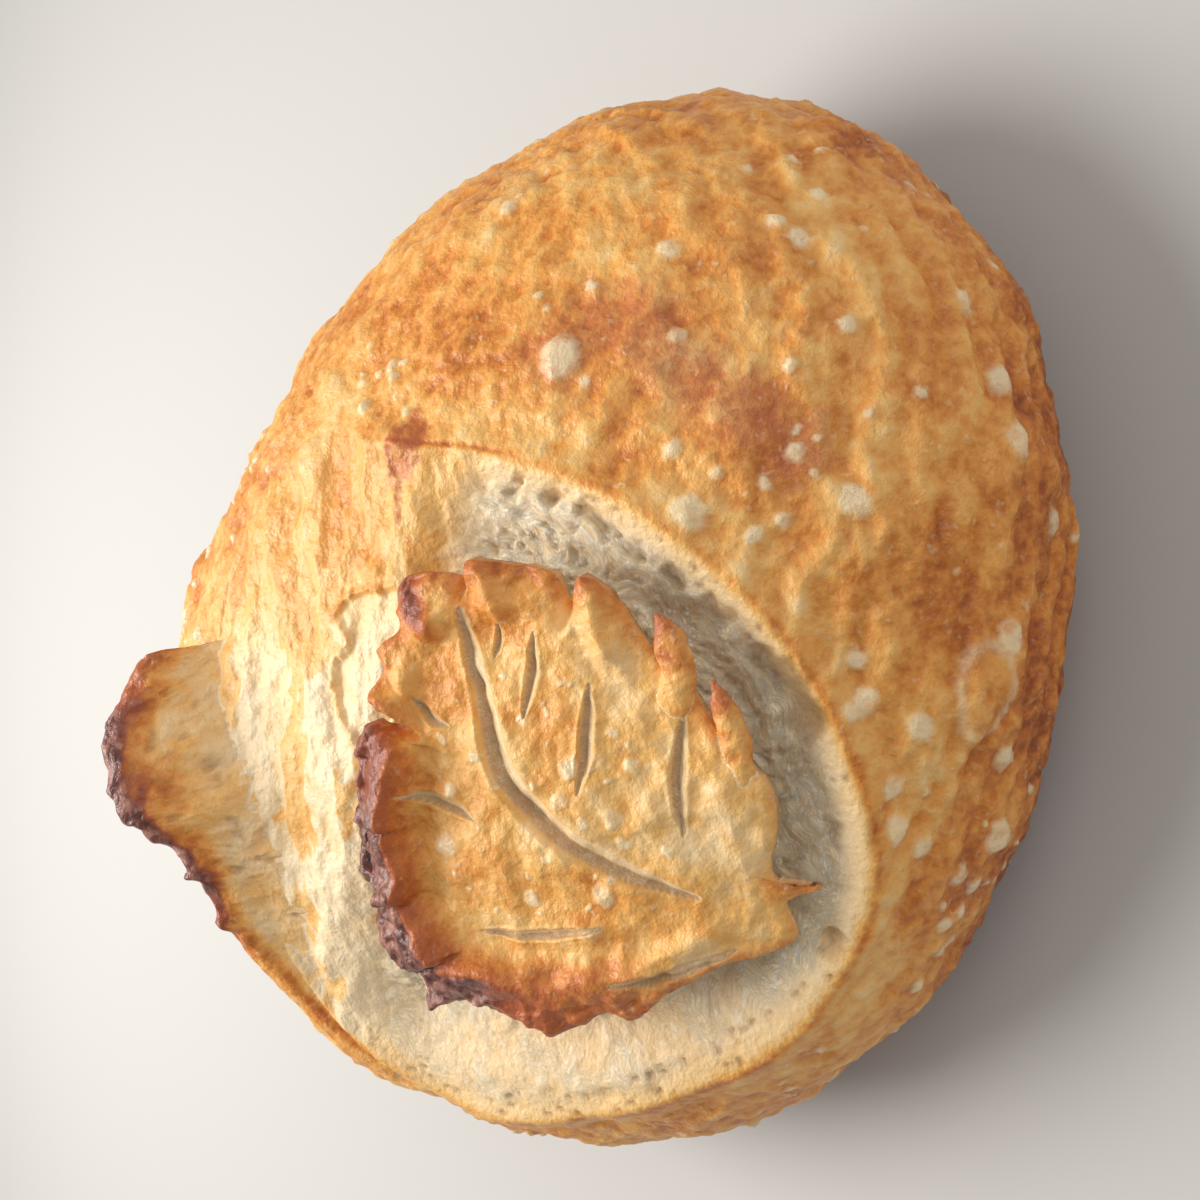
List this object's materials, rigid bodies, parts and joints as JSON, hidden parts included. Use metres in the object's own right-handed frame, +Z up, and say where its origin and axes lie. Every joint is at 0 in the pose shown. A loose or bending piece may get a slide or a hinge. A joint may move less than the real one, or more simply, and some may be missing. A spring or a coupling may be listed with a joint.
{
  "type": "sourdough loaf",
  "caption": "Round crusty sourdough loaf with a raised leaf-shaped flap in its oven-split top, cut veins, singed edges and a tall standing ear behind.",
  "frame": {"origin": "centre of the bounding box at the flat underside, on the surface that the loaf rests on", "axes": "+Z up out of the flat base; -Y towards the side where the leaf flap leans; +X to its right"},
  "size_m": [0.2418, 0.2454, 0.1378],
  "materials": {
    "crust": "dry baked crust, golden to brown"
  },
  "bodies": {
    "root": {"loaf": "crust"}
  },
  "joints": []
}
